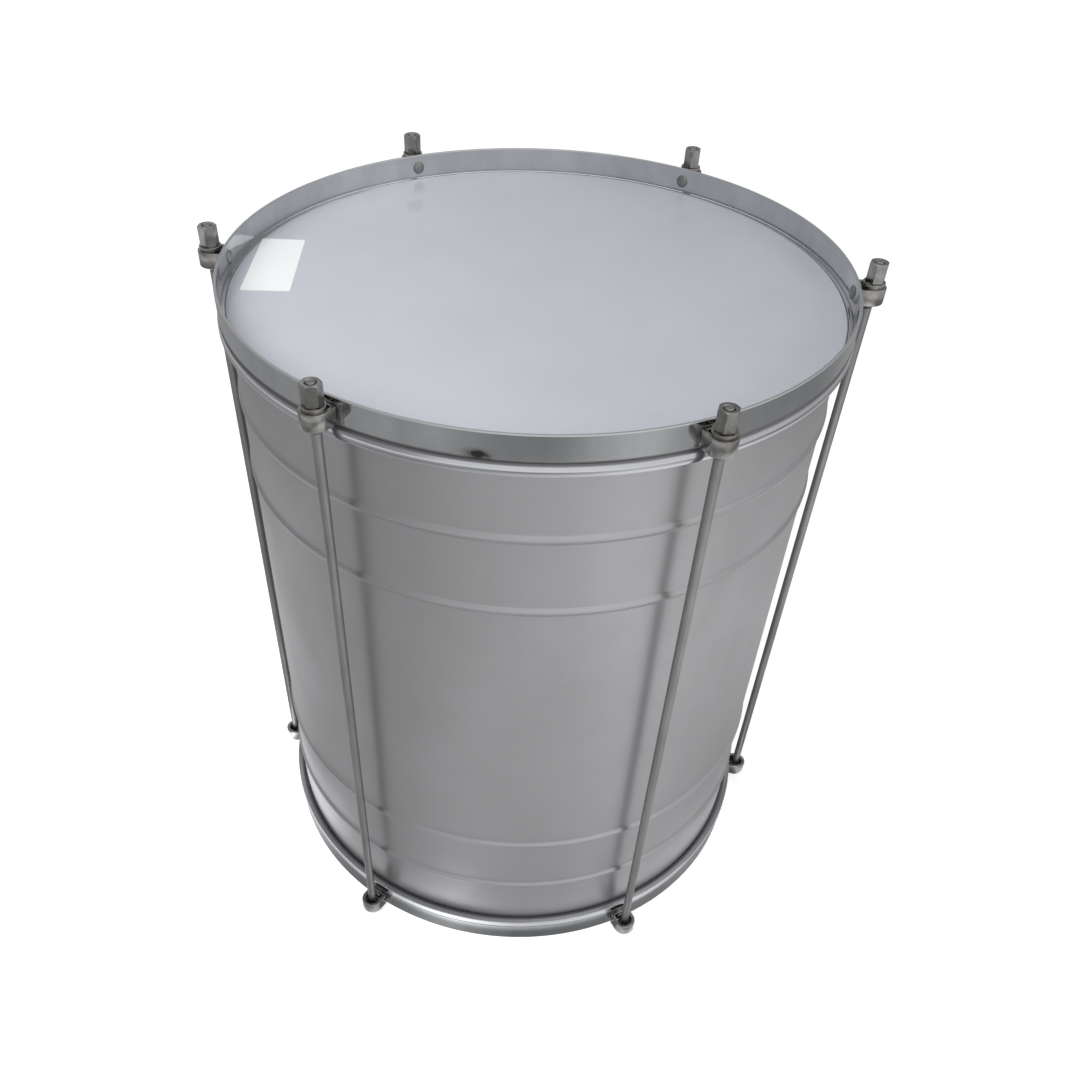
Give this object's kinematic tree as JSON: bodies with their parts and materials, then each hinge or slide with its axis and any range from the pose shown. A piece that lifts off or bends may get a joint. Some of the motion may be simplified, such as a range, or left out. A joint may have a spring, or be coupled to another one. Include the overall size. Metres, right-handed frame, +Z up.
{
  "type": "surdo",
  "caption": "Upright samba bass drum with a beaded aluminium shell between film heads, and long outside rods that draw its steel hoops together with tuning nuts.",
  "frame": {"origin": "on the floor plane under the middle of the drum, in the plane of the lower hoop's free edge", "axes": "+Z up along the drum's axis towards the batter head; +X through the first tension rod"},
  "size_m": [0.4556, 0.42, 0.5105],
  "materials": {
    "satin_aluminium": "satin rolled sheet",
    "bright_aluminium": "bright",
    "hoop_steel": "polished strip",
    "rod_steel": "drawn, zinc plated",
    "nickelled_steel": "dull nickel plate",
    "milky_film": "smooth milky polyester film"
  },
  "bodies": {
    "drum_body": {"shell": "satin_aluminium", "resonant_film": "milky_film", "resonant_flesh_hoop": "bright_aluminium", "resonant_counterhoop": "hoop_steel", "lower_ear_1": "nickelled_steel", "lower_ear_2": "nickelled_steel", "lower_ear_3": "nickelled_steel", "lower_ear_4": "nickelled_steel", "lower_ear_5": "nickelled_steel", "lower_ear_6": "nickelled_steel", "lower_rivet_1": "nickelled_steel", "lower_rivet_2": "nickelled_steel", "lower_rivet_3": "nickelled_steel", "lower_rivet_4": "nickelled_steel", "lower_rivet_5": "nickelled_steel", "lower_rivet_6": "nickelled_steel", "tension_rod_1": "rod_steel", "tension_rod_2": "rod_steel", "tension_rod_3": "rod_steel", "tension_rod_4": "rod_steel", "tension_rod_5": "rod_steel", "tension_rod_6": "rod_steel"},
    "batter_assembly": {"batter_film": "milky_film", "batter_flesh_hoop": "bright_aluminium", "batter_counterhoop": "hoop_steel", "upper_ear_1": "nickelled_steel", "upper_ear_2": "nickelled_steel", "upper_ear_3": "nickelled_steel", "upper_ear_4": "nickelled_steel", "upper_ear_5": "nickelled_steel", "upper_ear_6": "nickelled_steel", "upper_rivet_1": "nickelled_steel", "upper_rivet_2": "nickelled_steel", "upper_rivet_3": "nickelled_steel", "upper_rivet_4": "nickelled_steel", "upper_rivet_5": "nickelled_steel", "upper_rivet_6": "nickelled_steel", "washer_1": "nickelled_steel", "washer_2": "nickelled_steel", "washer_3": "nickelled_steel", "washer_4": "nickelled_steel", "washer_5": "nickelled_steel", "washer_6": "nickelled_steel"},
    "nut_1": {"tuning_nut_1": "nickelled_steel"},
    "nut_2": {"tuning_nut_2": "nickelled_steel"},
    "nut_3": {"tuning_nut_3": "nickelled_steel"},
    "nut_4": {"tuning_nut_4": "nickelled_steel"},
    "nut_5": {"tuning_nut_5": "nickelled_steel"},
    "nut_6": {"tuning_nut_6": "nickelled_steel"}
  },
  "joints": [
    {"name": "batter_lift", "type": "slide", "parent": "drum_body", "child": "batter_assembly", "axis": [0, 0, 1], "range_m": [0, 0.006]},
    {"name": "nut_1_turn", "type": "hinge", "parent": "batter_assembly", "child": "nut_1", "pos_m": [0.219, 0, 0.5038], "axis": [0, 0, 1], "range_deg": [0, 1701]},
    {"name": "nut_2_turn", "type": "hinge", "parent": "batter_assembly", "child": "nut_2", "pos_m": [0.1095, 0.18966, 0.5038], "axis": [0, 0, 1], "range_deg": [0, 1701]},
    {"name": "nut_3_turn", "type": "hinge", "parent": "batter_assembly", "child": "nut_3", "pos_m": [-0.1095, 0.18966, 0.5038], "axis": [0, 0, 1], "range_deg": [0, 1701]},
    {"name": "nut_4_turn", "type": "hinge", "parent": "batter_assembly", "child": "nut_4", "pos_m": [-0.219, 0, 0.5038], "axis": [0, 0, 1], "range_deg": [0, 1701]},
    {"name": "nut_5_turn", "type": "hinge", "parent": "batter_assembly", "child": "nut_5", "pos_m": [-0.1095, -0.18966, 0.5038], "axis": [0, 0, 1], "range_deg": [0, 1701]},
    {"name": "nut_6_turn", "type": "hinge", "parent": "batter_assembly", "child": "nut_6", "pos_m": [0.1095, -0.18966, 0.5038], "axis": [0, 0, 1], "range_deg": [0, 1701]}
  ],
  "couplings": [
    {"joint": "nut_1_turn", "follows": "batter_lift", "rad_per_m": 4947.4},
    {"joint": "nut_2_turn", "follows": "batter_lift", "rad_per_m": 4947.4},
    {"joint": "nut_3_turn", "follows": "batter_lift", "rad_per_m": 4947.4},
    {"joint": "nut_4_turn", "follows": "batter_lift", "rad_per_m": 4947.4},
    {"joint": "nut_5_turn", "follows": "batter_lift", "rad_per_m": 4947.4},
    {"joint": "nut_6_turn", "follows": "batter_lift", "rad_per_m": 4947.4}
  ]
}
